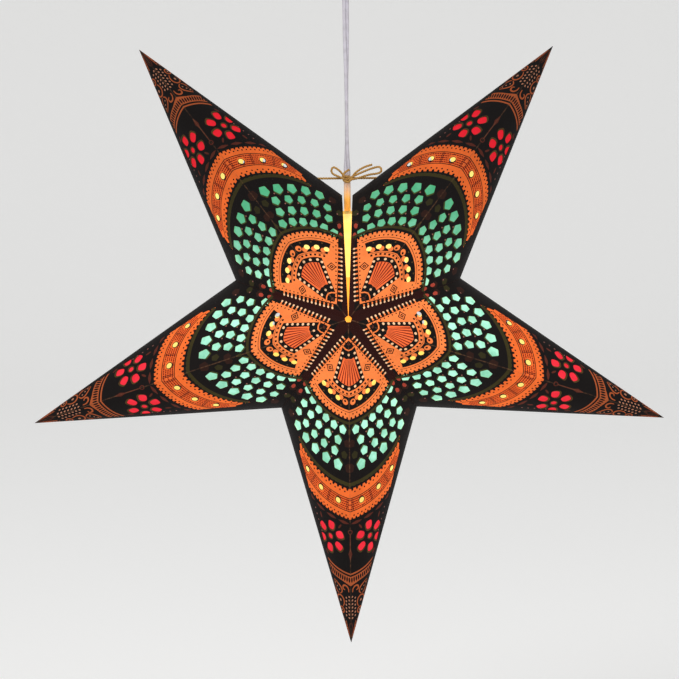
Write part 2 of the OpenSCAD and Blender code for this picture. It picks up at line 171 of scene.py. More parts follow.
# Lampholder and bulb: a white screw cap and skirt on a clear rubber bush, and an amber bulb that lights the
# star from inside. The bulb is the lantern's own lamp, and the holder over it is lit bright by it.
clear_rubber = moulded("clear_rubber", ink(206, 190, 158), ink(228, 214, 184), 0.6, 120, 0.0002)
lit_holder = moulded("lit_holder", ink(250, 204, 110), ink(255, 226, 150), 0.4, 60, 0.00015)
lit_bulb = moulded("lit_bulb", ink(206, 112, 34), ink(240, 160, 70), 0.5, 40, 0.0001)
for look, level in [(lit_holder, 0.7), (lit_bulb, 0.9)]:
    shine_nodes, shine_links = look.node_tree.nodes, look.node_tree.links
    shine = shine_nodes["Principled BSDF"]
    shine_links.new(shine_nodes["Color Ramp"].outputs["Color"], shine.inputs["Emission Color"])
    shine.inputs["Emission Strength"].default_value = level
for node, look in [("holder_bush", clear_rubber), ("holder_cap", lit_holder), ("holder_skirt", lit_holder),
                   ("bulb", lit_bulb)]:
    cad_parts[node].data.materials[0] = look


# Printed card: one flat half of a point's front, drawn as it is printed. u runs from the tip along the
# ridge, v away from the ridge, in mm. Orange and dull inks lie on black, and windows are cut through.
tip_r, valley_r, half_depth, pitch = 320.0, 112.0, 115.0, 71.0
ridge_slope = math.radians(35)
card_t, flap_w, glue_gap, centre_hole_r = 0.6, 10.0, 0.05, 3.0
half_pitch = math.radians(pitch / 2)
wide = valley_r * math.sin(half_pitch) / (tip_r - valley_r * math.cos(half_pitch))
deep = half_depth / tip_r
curl = deep - wide * math.tan(ridge_slope)
section_steps, edge_step = 1200, 24
section = np.linspace(0, 1, section_steps + 1)


def across(t):
    """Width and depth of a side for each length from the tip, from the ridge (0) to the side fold (1)."""
    return wide * (2 * t - t * t), (1 - t) ** 2 * deep + 2 * (1 - t) * t * curl


section_x, section_y = across(section)
rays = np.stack([np.ones_like(section), section_x, section_y], 1)
ray_length = np.linalg.norm(rays, axis=1)
rays = rays / ray_length[:, None]
between = 2 * np.arcsin(np.linalg.norm(np.diff(rays, axis=0), axis=1) / 2)
opened = np.concatenate([[0], np.cumsum(between)])
side_angle = opened[-1]
seam_rate = math.sin(half_pitch) + section_x * math.cos(half_pitch)
seam_s = (tip_r * math.sin(half_pitch) - glue_gap) / seam_rate
past_hole = np.hypot(tip_r - seam_s, section_x * seam_s) >= centre_hole_r
in_root = np.maximum(tip_r ** 2 - (1 + section_x ** 2) * (tip_r ** 2 - centre_hole_r ** 2), 0)
hole_s = (tip_r - np.sqrt(in_root)) / (1 + section_x ** 2)
edge_reach = np.where(past_hole, seam_s, hole_s) * ray_length
first_seam = int(np.argmax(past_hole))
picked = sorted({0, first_seam // 2, section_steps} | set(range(first_seam, section_steps, edge_step)))
sheet_edge = [(edge_reach[i] * math.cos(opened[i]), edge_reach[i] * math.sin(opened[i])) for i in picked]

black, maroon, olive = ink(14, 8, 7), ink(40, 9, 6), ink(56, 49, 20)
orange, peach, pale = ink(252, 114, 48), ink(255, 134, 68), ink(255, 204, 156)
hatch_ground, hatch_red, fan_ground = ink(250, 110, 46), ink(134, 24, 8), ink(250, 112, 58)
brown, dull_red, tip_dot = ink(190, 94, 50), ink(92, 40, 28), ink(206, 140, 108)
hatch_ink, fan_line, petal_edge = ink(46, 11, 6), ink(128, 32, 16), ink(84, 62, 30)
shadow_green, pink_dot, uncut_pink = ink(70, 76, 34), ink(150, 98, 88), ink(168, 64, 48)
uncut_olive, uncut_brown = ink(46, 42, 19), ink(44, 22, 15)
printed = []


def lay(colour, outline):
    """Prints a closed outline over what is there; a window, if there is no colour."""
    x, y = np.array(outline).T
    turn = np.sum(x * np.roll(y, -1) - np.roll(x, -1) * y)
    printed.append((colour, list(outline) if turn > 0 else list(outline)[::-1]))


def spot(middle, r, angle):
    """The place on an arc round a middle on the ridge, by degrees away from the ridge on the tip's side."""
    return middle - r * math.cos(math.radians(angle)), r * math.sin(math.radians(angle))


def arc(middle, r, start, end, steps):
    """Places along an arc, from one angle to another."""
    return [spot(middle, r, a) for a in np.linspace(start, end, steps)]


def strip(middle, outer, inner, start, end, steps):
    """The outline of a strip between two arcs round one middle."""
    return arc(middle, outer, start, end, steps) + arc(middle, inner, end, start, steps)


def shape(at, length, width, turn=0, sides=10, start=0):
    """An ellipse or polygon of that size, turned by degrees from the ridge."""
    c, s = math.cos(math.radians(turn)), math.sin(math.radians(turn))
    made = []
    for i in range(sides):
        a = 2 * math.pi * (i + start) / sides
        p, q = length / 2 * math.cos(a), width / 2 * math.sin(a)
        made.append((at[0] + p * c - q * s, at[1] + p * s + q * c))
    return made


def stroke(points, widths):
    """A brush line through points, with a width at each."""
    line = np.array(points, float)
    way = np.gradient(line, axis=0)
    way = way / np.linalg.norm(way, axis=1)[:, None]
    off = np.stack([-way[:, 1], way[:, 0]], 1) * (np.array(widths) / 2)[:, None]
    return [tuple(p) for p in line + off] + [tuple(p) for p in (line - off)[::-1]]


def flowing(points, steps=5):
    """A smooth line through points."""
    p = [np.array(q, float) for q in points]
    p = [2 * p[0] - p[1]] + p + [2 * p[-1] - p[-2]]
    made = []
    for i in range(1, len(p) - 2):
        for k in range(steps):
            f = k / steps
            made.append(0.5 * (2 * p[i] + (p[i + 1] - p[i - 1]) * f
                               + (2 * p[i - 1] - 5 * p[i] + 4 * p[i + 1] - p[i + 2]) * f * f
                               + (3 * p[i] - p[i - 1] - 3 * p[i + 1] + p[i + 2]) * f ** 3))
    made.append(p[-2])
    return made


def ribbon(colour, points, width):
    """A printed brush line through points that thins towards its ends."""
    line = flowing(points)
    swell = np.sin(np.linspace(0.18 * math.pi, 0.82 * math.pi, len(line)))
    lay(colour, stroke(line, width * swell))


def ring(colour, at, d, line, sides=14):
    """A printed ring: a disc with the black showing in it."""
    lay(colour, shape(at, d, d, sides=sides))
    lay(black, shape(at, d - 2 * line, d - 2 * line, sides=sides))


lay(black, [(0, 0)] + sheet_edge)

# The tip: rows of pale dots on the ridge, and beside them a beaded rope, a ring with an eye, a wave round
# a pale drop, a leaf and a hook.
dots_start, dots_pitch = 27.0, 3.9
for row, v in enumerate([1.9, 5.3]):
    for i in range(7 - row):
        lay(tip_dot, shape((dots_start + dots_pitch * (i + row * 0.5), v), 2.3, 1.6, 24, 7))
ribbon(dull_red, [(8, 0.9), (12, 1.9), (17, 2.0), (22, 0.9)], 0.9)
ribbon(brown, [(6, 1.2), (11, 3.0), (17, 4.6), (23, 6.0)], 1.1)
ribbon(brown, [(9, 3.6), (15, 6.2), (21, 8.6), (26.6, 11.6)], 1.2)
for i in range(5):
    lay(tip_dot, shape((12 + 2.9 * i, 3.9 + 1.05 * i), 1.2, 1.0, 24, 6))
ring(brown, (33, 11.4), 7.8, 1.3)
lay(tip_dot, shape((33, 11.4), 2.2, 1.8, 24, 8))
ribbon(brown, [(37.6, 9.4), (41.4, 7.9), (46, 8.6), (48.8, 12), (47.6, 16.2), (43.4, 18), (39.4, 16.2)],
       1.5)
lay(tip_dot, shape((43.4, 12.8), 3.0, 2.2, 24, 8))
ribbon(brown, [(50.4, 13), (53.6, 10.4), (57.6, 11.4), (60.8, 15.4), (63.6, 21)], 1.5)
ribbon(brown, [(50.2, 14.6), (52, 17.6), (56, 20), (62.4, 21.6)], 1.4)
for at in [(54.6, 13.8), (57.4, 16.8), (60.2, 19.4)]:
    lay(tip_dot, shape(at, 1.6, 1.3, 50, 7))
ribbon(brown, [(55.4, 2.2), (59.2, 2.8), (61.6, 5.4), (60.8, 8.6), (57.6, 9), (56.6, 6.6)], 1.7)
ribbon(brown, [(43, 19.4), (48.4, 21.4), (54, 22.4)], 1.3)

# Chevron: an arched ladder across the point, black cells between two lines that meet in a solid corner on
# the ridge, and one more line behind it.
arch, ladder_out, ladder_in, ladder_step = 138.0, 72.8, 65.2, 2.2
lay(brown, [(62.8, 0)] + arc(arch, ladder_out, 0, 8, 4))
lay(brown, strip(arch, ladder_out, ladder_in, 0, 36, 20))
for i in range(16):
    a = 1.2 + ladder_step * i
    lay(black, shape(spot(arch, (ladder_out + ladder_in) / 2, a), 6.0, 2.0, -a, 8, 0.5))
lay(brown, strip(arch, 63.2, 61.6, 0, 36, 20))

# Flower field: a spear on the ridge, sprigs and two cut flowers of six petals round a cut eye. The ink
# round every petal is printed a little to one side of it.
lay(dull_red, stroke([(91, 0), (97, 0), (103, 0)], [0.6, 4.4, 0.8]))
lay(dull_red, stroke([(101, 0), (110, 0), (119, 0)], [1.0, 1.1, 1.0]))
ring(dull_red, (121, 0), 5.4, 1.1)
flower_at, petal_ring_r, petal_long, petal_wide, eye_d = (109.5, 24.0), 12.5, 10.0, 8.6, 6.0


def petal(at, turn, long, wide_at):
    """A petal: a rounded block, broader at its outer end."""
    c, s = math.cos(math.radians(turn)), math.sin(math.radians(turn))
    made = []
    for a in np.linspace(0, 2 * math.pi, 18, endpoint=False):
        p = long / 2 * math.copysign(abs(math.cos(a)) ** 0.72, math.cos(a))
        q = wide_at / 2 * math.copysign(abs(math.sin(a)) ** 0.72, math.sin(a)) * (1 + 0.14 * math.cos(a))
        made.append((at[0] + p * c - q * s, at[1] + p * s + q * c))
    return made


for i in range(6):
    a = math.radians(60 * i - 6)
    at = (flower_at[0] + petal_ring_r * math.cos(a), flower_at[1] + petal_ring_r * math.sin(a))
    lay(petal_edge, petal((at[0] - 0.9, at[1] - 0.6), 60 * i - 6, petal_long + 0.8, petal_wide + 0.6))
    lay(None, petal(at, 60 * i - 6, petal_long - 0.6, petal_wide - 0.6))
lay(petal_edge, shape(flower_at, eye_d + 1.6, eye_d + 1.6, sides=14))
lay(None, shape(flower_at, eye_d - 0.6, eye_d - 0.6, sides=14))
for at, turn in [((124, 12), -35), ((90.5, 30), 40), ((128.4, 36), 20)]:
    lay(dull_red, shape(at, 6.4, 2.2, turn, 8))
for at in [(110.5, 36.4), (115.4, 38.2), (121, 40.4), (126.6, 42.6), (132.4, 44.4)]:
    lay(pink_dot, shape(at, 1.7, 1.3, 30, 7))

# Orange band: dull leaves, a bright bar across the point, bitten by black on both edges, a hatched strip
# with three punched holes along its middle, and a dull olive bar behind it.
lead_middle, lead_r = 231.5, 96.8
strip_middle, hatch_out, hatch_in = 231.5, 87.6, 75.4
trail_middle, trail_r = 242.0, 75.0
leaf_r, leaf_step = 101.6, 8.4
for i in range(5):
    a = 4.4 + leaf_step * i
    lay(dull_red, stroke(arc(lead_middle, leaf_r, a - 3.6, a + 3.2, 5), [0.4, 2.4, 3.4, 2.2, 0.4]))
lay(orange, arc(lead_middle, lead_r, 0, 40, 26) + arc(trail_middle, trail_r, 58, 0, 26))
for i in range(15):
    a = 1.4 + 2.8 * i
    lay(black, shape(spot(lead_middle, lead_r + 0.2, a), 4.6, 2.2, -a, 8))
    lay(black, shape(spot(lead_middle, lead_r - 3.5, a + 1.4), 1.9, 1.7, -a, 7))
lay(black, strip(strip_middle, hatch_out + 1.2, hatch_out + 0.3, 0, 52, 26))
lay(black, strip(strip_middle, hatch_in - 0.3, hatch_in - 1.2, 0, 55, 26))
lay(hatch_ground, strip(strip_middle, hatch_out, hatch_in, 0, 55, 26))
hatch_pitch = 1.72
for row in range(5):
    r = hatch_out - 1.3 - row * 2.4
    for i in range(29):
        a = 0.9 + hatch_pitch * (i + 0.5 * (row % 2))
        lay(hatch_red, shape(spot(strip_middle, r, a), 1.9, 2.9, -a, 4, 0.5))
for i in range(6):
    a = 2.0 + 7.9 * i
    for nudge in (-0.5, 0.5):
        lay(black, strip(strip_middle, hatch_out, hatch_in, a + nudge - 0.2, a + nudge + 0.2, 2))
band_holes, band_hole_d = [spot(strip_middle, 81, 15.8 * (i + 0.62)) for i in range(3)], 6.0
for at in band_holes:
    lay(orange, shape((at[0] - 0.4, at[1] + 0.2), 9.2, 9.2, sides=14))
    lay(black, shape((at[0] + 0.5, at[1] - 0.3), 7.4, 7.4, sides=14))
for i in range(13):
    a = 2.1 + 4.1 * i
    lay(black, shape(spot(trail_middle, trail_r, a), 5.2, 2.8, -a, 8))
    lay(black, shape(spot(trail_middle, trail_r + 4.0, a + 2.05), 1.8, 1.8, -a, 7))
olive_middle, olive_r = 254.0, 82.5
lay(olive, strip(olive_middle, olive_r + 2.2, olive_r - 2.0, 0, 50, 28))
for i in range(14):
    a = 1.7 + 3.5 * i
    lay(black, shape(spot(olive_middle, olive_r + 2.6, a), 2.2, 2.8, -a, 8))

# Lattice: four arched rows of cut cells on black, with an olive misprint beside every cell, pale dots
# where the bars cross, and a few printed cells that aren't cut near the ridge and at the sides.
row_cells, row_start, row_step = [5, 5, 5, 6], [8, 12, 11.2, 8.2], [8.5, 9.2, 10.4, 11.2]
row_scale, cell_d = [0.97, 0.8, 0.8, 0.78], 11.4
cell_corners, corner_cut, corner_dip = 5, 0.14, 0.03


def cell(row, place, grown=1.0):
    """A window cell: a five-sided cell with soft corners, one corner to the star's middle."""
    turn = row_start[row] + place * row_step[row]
    reach = 97 - 14.7 * row
    at = spot(188.5 + 12.7 * row + reach, reach, turn)
    size = cell_d * row_scale[row] * grown / 2
    around = np.arange(cell_corners) * 2 * math.pi / cell_corners
    corners = np.stack([size * np.cos(around) / 0.82, size * np.sin(around)], 1)
    soft = []
    for last, here, after in zip(np.roll(corners, 1, 0), corners, np.roll(corners, -1, 0)):
        soft.append(here + corner_cut * (last - here))
        soft.append(here + corner_dip * (last + after - 2 * here))
        soft.append(here + corner_cut * (after - here))
    c, s = math.cos(math.radians(-turn)), math.sin(math.radians(-turn))
    return at, [(at[0] + x * c - y * s, at[1] + x * s + y * c) for x, y in soft]


cut_cells = []
for row in range(4):
    for place in (-0.86, row_cells[row] - 0.06):
        at, outline = cell(row, place, 0.82)
        lay(uncut_olive if row % 2 else uncut_brown, outline)
    for place in range(row_cells[row]):
        at, outline = cell(row, place)
        lay(shadow_green, [(u + 1.5, v - 0.9) for u, v in outline])
        cut_cells.append(outline)
        at, outline = cell(row, place + 0.5)
        lay(pink_dot, shape((at[0] + 5.2, at[1]), 1.6, 1.6, sides=7))
for at, turn in [((262, 51.6), -40), ((252.4, 57.8), -48)]:
    lay(uncut_pink, shape(at, 7.0, 3.8, turn, 8))
for outline in cut_cells:
    lay(None, outline)

# Middle panel: an orange kite with a bitten arched edge, a dark arched bar of discs, a dotted bar, a fan in
# a frame of pale dots, square scrolls beside it and a comb of pale beads along the seam.
panel = 294.9
lay(maroon, [(262, 50.5), (275.5, 41.2), (300, 22.8), (322.5, 5.5), (331, 0)]
    + [p for p in sheet_edge if p[0] > 262])
lay(olive, strip(panel, 61.0, 58.2, 0, 60, 30))
kite_r, corner_angle, kite_end = 55.6, 56.6, 322.0
lay(peach, arc(panel, kite_r, 0, corner_angle, 30) + [(kite_end, 0)])
for i in range(12):
    a = 2.4 + 4.8 * i
    lay(black, shape(spot(panel, kite_r + 0.2, a), 5.2, 2.3, -a, 8))
    lay(black, shape(spot(panel, 50.9, a + 2.4), 1.8, 1.6, -a, 7))
lay(hatch_ink, strip(panel, 48.5, 47.9, 0, 54, 26))
lay(black, strip(panel, 46.1, 32.9, 0, 51, 26))
disc_step = 14.3
panel_holes, panel_hole_d = [spot(panel, 38.4, disc_step * (i + 1.34)) for i in range(3)], 5.6
for i in range(4):
    a = disc_step * (i + 0.34)
    if i == 0:
        lay(peach, shape(spot(panel, 38.6, 6.2), 6.4, 6.0, sides=12))
        lay(hatch_ink, shape(spot(panel, 37.8, 6.6), 2.6, 2.4, sides=9))
    else:
        lay(peach, shape(spot(panel, 35.9, a - 4.6), 5.4, 5.4, sides=12))
    lay(petal_edge, shape(spot(panel, 43.8, a + 7.2), 1.8, 1.8, sides=7))
lay(hatch_ink, strip(panel, 31.9, 31.4, 0, 47, 20))
for i in range(6):
    a = 4.2 + 8.4 * i
    lay(black, shape(spot(panel, 29.7, a), 2.9, 2.9, -a, 4, 0.5))
fan_frame = arc(panel, 27.0, 0, 42, 12) + [(308.4, 7.6), (309.6, 0)]
lay(black, fan_frame)
fan = arc(291.5, 18.2, 0, 43, 9) + [(300.8, 5.8), (299.8, 2.8), (300.8, 0)]
lay(fan_ground, fan)
for i in range(4):
    a = 5.4 + 10.6 * i
    lay(fan_line, stroke([spot(291.5, 18.0, a), (288, 0.2 * a), (299.4, 0.1 * a)], [1.3, 0.9, 0.4]))
for i in range(3):
    lay(pale, shape(spot(panel, 24.3, 16.5 * i), 2.8, 2.8, sides=10))
for f in np.linspace(0, 1, 6):
    lay(pale, shape((278.6 + f * 26.4, 15.5 - f * 8.9), 2.7, 2.7, sides=10))
lay(pale, shape((304.6, 0), 2.4, 2.4, sides=10))
for size, colour in [(9.4, black), (6.8, peach), (4.2, black), (1.6, peach)]:
    lay(colour, shape((286.8, 20.8), size, size, 12, 4, 0.5))
comb_in, comb_out = np.array((321.0, 2.2)), np.array((268.0, 43.2))
comb_way = (comb_out - comb_in) / np.linalg.norm(comb_out - comb_in)
comb_off = np.array((-comb_way[1], comb_way[0]))
comb_off = comb_off * np.sign(comb_off[0])
for i in range(13):
    at = comb_in + comb_way * (2.5 + 4.85 * i)
    lay(peach, stroke([at, at + comb_off * 1.3, at + comb_off * 2.6], [1.7, 1.6, 1.4]))
    lay(pale, shape(at + comb_off * 3.3, 2.3, 2.3, sides=9))
    lay(black, shape(at + comb_way * 2.4 - comb_off * 2.0, 1.6, 1.6, sides=7))
lay(black, [(309.6, 0), (308.4, 7.6), (311.8, 6.4), (318.2, 1.0), (318.8, 0)])
lay(peach, stroke([(309.0, 0), (309.6, 3.4), (312.0, 6.8)], [1.4, 1.4, 1.4]))
lay(dull_red, shape((315.0, 1.0), 1.8, 1.6, sides=8))

# Past the print the card is plain black to its side fold; then the round holes are punched through.
plain_from = math.radians(19.4)
plain_corners = [(58, plain_from), (212, plain_from), (206, side_angle), (58, side_angle)]
lay(black, [(reach * math.cos(a), reach * math.sin(a)) for reach, a in plain_corners])
for at in band_holes:
    lay(None, shape(at, band_hole_d, band_hole_d, sides=14))
for at in panel_holes:
    lay(None, shape(at, panel_hole_d, panel_hole_d, sides=14))

# Cutting: all outlines are cut into one flat mesh, and the topmost one gives every face its ink. Straight
# lines from the tip are added, because the card bends along them.
flat, loops = [], []
for colour, outline in printed:
    loops.append(list(range(len(flat), len(flat) + len(outline))))
    flat += [Vector((float(u), float(v))) for u, v in outline]
bends, bend_count, bend_start = [], 16, 7
for a in np.linspace(0, side_angle, bend_count + 2)[1:-1]:
    bends.append((len(flat), len(flat) + 1))
    for reach in (bend_start, np.interp(a, opened, edge_reach)):
        flat.append(Vector((reach * math.cos(a), reach * math.sin(a))))
spots, unused, triangles, unused, unused, sources = delaunay_2d_cdt(flat, bends, loops, 0, 1e-4, True)
spots = np.array([[p[0], p[1]] for p in spots])
kept, inks = [], []
for triangle, source in zip(triangles, sources):
    if 0 in source and printed[max(source)][0] is not None:
        kept.append(triangle)
        inks.append(printed[max(source)][0])
kept, inks = np.array(kept), np.array(inks)
used, kept = np.unique(kept, return_inverse=True)
spots, kept = spots[used], kept.reshape(-1, 3)

# Folding: every flat place goes to its place on the folded point, with the card's thickness inside it and
# a glue flap along the seam. Half a front is mirrored to the whole point.
length, angle = np.hypot(*spots.T), np.arctan2(spots[:, 1], spots[:, 0])
angle = np.where(angle > side_angle - 1e-5, side_angle, np.where(angle < 1e-7, 0, angle))
off_folds = np.stack([length, length * np.sin(angle), length * np.sin(side_angle - angle)], 1)
t = np.interp(angle, opened, section)
x, y = across(t)
ray = np.stack([np.ones_like(t), x, y], 1)
ray = ray / np.linalg.norm(ray, axis=1)[:, None]
outside = ray * length[:, None]
slope_x, slope_y = 2 * wide * (1 - t), -2 * (1 - t) * deep + 2 * (1 - 2 * t) * curl
normal = np.stack([x * slope_y - y * slope_x, -slope_y, slope_x], 1)
normal = normal / np.linalg.norm(normal, axis=1)[:, None]
mitre = np.where((t == 0)[:, None], normal * (1, 0, 1), normal)
inside = outside - card_t * mitre / np.sum(mitre * normal, axis=1)[:, None]
inside[:, 2] = np.maximum(inside[:, 2], 0)


def from_seam(p):
    """Distance of folded places (along, aside, forward) from the plane of the seam."""
    return (tip_r - p[:, 0]) * math.sin(half_pitch) - p[:, 1] * math.cos(half_pitch)


steep = ray[:, 0] * math.sin(half_pitch) + ray[:, 1] * math.cos(half_pitch)
borders = {}
for triangle in kept:
    for a, b in zip(triangle, np.roll(triangle, -1)):
        if (b, a) in borders:
            del borders[(b, a)]
        else:
            borders[(a, b)] = True
seam_tolerance = 0.06
on_seam = np.abs(from_seam(outside) - glue_gap) < seam_tolerance
slide = (glue_gap + card_t - from_seam(inside)) / steep
inside = np.where(on_seam[:, None], inside - ray * slide[:, None], inside)
flap_shift = flap_w * math.hypot(1, wide) / wide
flap_top = ((tip_r - flap_shift) * math.sin(half_pitch) - glue_gap) / steep
flap_out = ray * flap_top[:, None] + (flap_shift, 0, 0)
flap_in = ray * (flap_top - card_t / steep)[:, None] + (flap_shift, 0, 0)
count = len(spots)
folded = np.concatenate([outside, inside, flap_out, flap_in])
# The inside faces get a warm pale yellow: painted lamp light on the plain card.
faces, tints = [kept, kept[:, ::-1] + count], [inks, np.tile(ink(255, 234, 142), (len(kept), 1))]
slots = [np.zeros(len(kept), int), np.ones(len(kept), int)]
walls, wall_slots = [], []
for a, b in borders:
    ends = (a, b)
    if all(t[e] == 0 for e in ends) or all(t[e] == 1 for e in ends):
        continue
    if all(on_seam[e] for e in ends):
        quads = [((b, a, a + 2 * count, b + 2 * count), 0),
                 ((a + count, b + count, b + 3 * count, a + 3 * count), 1),
                 ((b + 2 * count, a + 2 * count, a + 3 * count, b + 3 * count), 1)]
    else:
        quads = [((b, a, a + count, b + count), 0)]
        if on_seam[b]:
            quads.append(((b + 2 * count, b, b + count, b + 3 * count), 1))
    for quad, which in quads:
        walls += [(quad[0], quad[1], quad[2]), (quad[0], quad[2], quad[3])]
        wall_slots += [which, which]
faces.append(np.array(walls))
# Edges on the printed side are dark brown; the inner edges and flaps get a painted yellow of the lamp's
# light.
tints.append(np.where(np.array(wall_slots)[:, None] == 0, ink(64, 30, 18), ink(255, 206, 110)))
slots.append(np.array(wall_slots))
faces, tints, slots = np.concatenate(faces), np.concatenate(tints), np.concatenate(slots)
whole_points, whole_faces = [], []
for side in (1, -1):
    for front in (1, -1):
        whole_faces.append((faces[:, ::-1] if side * front > 0 else faces) + 4 * count * len(whole_points))
        whole_points.append(np.stack([tip_r - folded[:, 0], side * folded[:, 1], front * folded[:, 2]], 1))
whole_points, whole_faces = np.concatenate(whole_points), np.concatenate(whole_faces)
tints, slots = np.tile(tints, (4, 1)), np.tile(slots, 4)
rounded = np.round(whole_points, 4) + 0.0
unused, first, welded = np.unique(rounded, axis=0, return_index=True, return_inverse=True)
whole_points, whole_faces = whole_points[first], welded.reshape(-1)[whole_faces]
off_folds = np.tile(off_folds, (16, 1))[first]
sound = (whole_faces[:, 0] != whole_faces[:, 1]) & (whole_faces[:, 1] != whole_faces[:, 2]) \
    & (whole_faces[:, 2] != whole_faces[:, 0])
whole_faces, tints, slots = whole_faces[sound], tints[sound], slots[sound]
seen, whole_faces = np.unique(whole_faces, return_inverse=True)
whole_points, whole_faces, off_folds = whole_points[seen], whole_faces.reshape(-1, 3), off_folds[seen]

# Card surfaces: matt ink on fibrous card that glows where the lamp behind it shines through the ink, most
# near the lamp and less above it, where the holder shades it. Along the folds it is lighter in patches,
# partly ink rubbed off and partly a painted highlight on the creases; the plain inside of the card is
# painted bright and warm, as lit by the lamp.
lamp_at = (0, 0, -0.343)
printed_card = bpy.data.materials.new("printed_card_face")
printed_card.use_nodes = True
printed_card.cycles.emission_sampling = "NONE"
nodes, links = printed_card.node_tree.nodes, printed_card.node_tree.links
skin = nodes["Principled BSDF"]
skin.inputs["Roughness"].default_value = 0.72
skin.inputs["Specular IOR Level"].default_value = 0.12
place = nodes.new("ShaderNodeTexCoord")
colour = nodes.new("ShaderNodeAttribute")
colour.attribute_name = "print"


def noise(scale, detail, rough=0.5):
    """Cloudy values over a piece, from 0 to 1."""
    made = nodes.new("ShaderNodeTexNoise")
    made.inputs["Scale"].default_value = scale
    made.inputs["Detail"].default_value = detail
    made.inputs["Roughness"].default_value = rough
    links.new(place.outputs["Object"], made.inputs["Vector"])
    return made.outputs[0]


def ranged(value, low, high, to_low, to_high):
    """A value led softly from one range to another."""
    made = nodes.new("ShaderNodeMapRange")
    made.interpolation_type = "SMOOTHSTEP"
    for name, number in [("From Min", low), ("From Max", high), ("To Min", to_low), ("To Max", to_high)]:
        made.inputs[name].default_value = number
    links.new(value, made.inputs["Value"])
    return made.outputs["Result"]


def sums(kind, a, b):
    """Two values worked into one."""
    made = nodes.new("ShaderNodeMath")
    made.operation = kind
    links.new(a, made.inputs[0])
    links.new(b, made.inputs[1])
    return made.outputs[0]


def tinted(value, tint):
    """A colour scaled by a value that varies."""
    made = nodes.new("ShaderNodeVectorMath")
    made.operation = "SCALE"
    links.new(tint, made.inputs[0])
    links.new(value, made.inputs["Scale"])
    return made.outputs[0]


def from_lamp():
    """Distance from the lamp, and height over it, at each place."""
    off = nodes.new("ShaderNodeVectorMath")
    off.operation = "SUBTRACT"
    off.inputs[1].default_value = lamp_at
    links.new(place.outputs["Object"], off.inputs[0])
    far = nodes.new("ShaderNodeVectorMath")
    far.operation = "LENGTH"
    links.new(off.outputs[0], far.inputs[0])
    parts = nodes.new("ShaderNodeSeparateXYZ")
    links.new(off.outputs[0], parts.inputs[0])
    return far.outputs["Value"], parts.outputs["Z"]


def bumped(height, distance, strength):
    """Gives the skin in hand a fine relief."""
    made = nodes.new("ShaderNodeBump")
    made.inputs["Distance"].default_value = distance
    made.inputs["Strength"].default_value = strength
    links.new(height, made.inputs["Height"])
    links.new(made.outputs["Normal"], skin.inputs["Normal"])


far, height = from_lamp()
glow = sums("MULTIPLY", ranged(far, 0.1, 0.32, 1.0, 0.5), ranged(height, 0.0, 0.16, 1.0, 0.62))
cloud = ranged(noise(55, 5, 0.6), 0.25, 0.75, 0.78, 1.12)
fibre = ranged(noise(900, 3), 0.2, 0.8, 0.86, 1.1)
lit = sums("MULTIPLY", sums("MULTIPLY", glow, cloud), fibre)
# Lighter brown in patches along the ridge and side folds: rubbed-off ink and a painted highlight on the
# creases.
folds = nodes.new("ShaderNodeAttribute")
folds.attribute_name = "off_folds"
parts = nodes.new("ShaderNodeSeparateXYZ")
links.new(folds.outputs["Vector"], parts.inputs[0])
near_ridge = ranged(parts.outputs["Y"], 0.0, 1.0, 1.0, 0.0)
near_side = ranged(parts.outputs["Z"], 0.0, 1.0, 1.0, 0.0)
patches = ranged(noise(240, 4, 0.7), 0.38, 0.66, 0.04, 0.5)
fold_wear_and_highlight = nodes.new("ShaderNodeMix")
fold_wear_and_highlight.data_type = "RGBA"
fold_wear_and_highlight.inputs["B"].default_value = (*ink(132, 92, 64), 1)
links.new(sums("MULTIPLY", sums("MAXIMUM", near_ridge, near_side), patches), fold_wear_and_highlight.inputs["Factor"])
links.new(colour.outputs["Color"], fold_wear_and_highlight.inputs["A"])
links.new(tinted(lit, fold_wear_and_highlight.outputs["Result"]), skin.inputs["Emission Color"])
skin.inputs["Emission Strength"].default_value = 0.8
grain = ranged(noise(1100, 3), 0.2, 0.8, 0.32, 0.44)
links.new(tinted(grain, fold_wear_and_highlight.outputs["Result"]), skin.inputs["Base Color"])
bumped(noise(1400, 4), 0.00012, 0.5)

# The plain inside glows brighter nearer the lamp: painted lamp light.
lit_inside = bpy.data.materials.new("lit_card_inside")
lit_inside.use_nodes = True
lit_inside.cycles.emission_sampling = "NONE"
nodes, links = lit_inside.node_tree.nodes, lit_inside.node_tree.links
skin = nodes["Principled BSDF"]
skin.inputs["Roughness"].default_value = 0.8
place = nodes.new("ShaderNodeTexCoord")
colour = nodes.new("ShaderNodeAttribute")
colour.attribute_name = "print"
far, height = from_lamp()
lit = sums("MULTIPLY", ranged(far, 0.09, 0.3, 1.1, 0.45), ranged(noise(70, 4), 0.2, 0.8, 0.85, 1.1))
links.new(tinted(lit, colour.outputs["Color"]), skin.inputs["Emission Color"])
grain = ranged(noise(700, 3), 0.2, 0.8, 0.3, 0.42)
links.new(tinted(grain, colour.outputs["Color"]), skin.inputs["Base Color"])
skin.inputs["Emission Strength"].default_value = 0.9

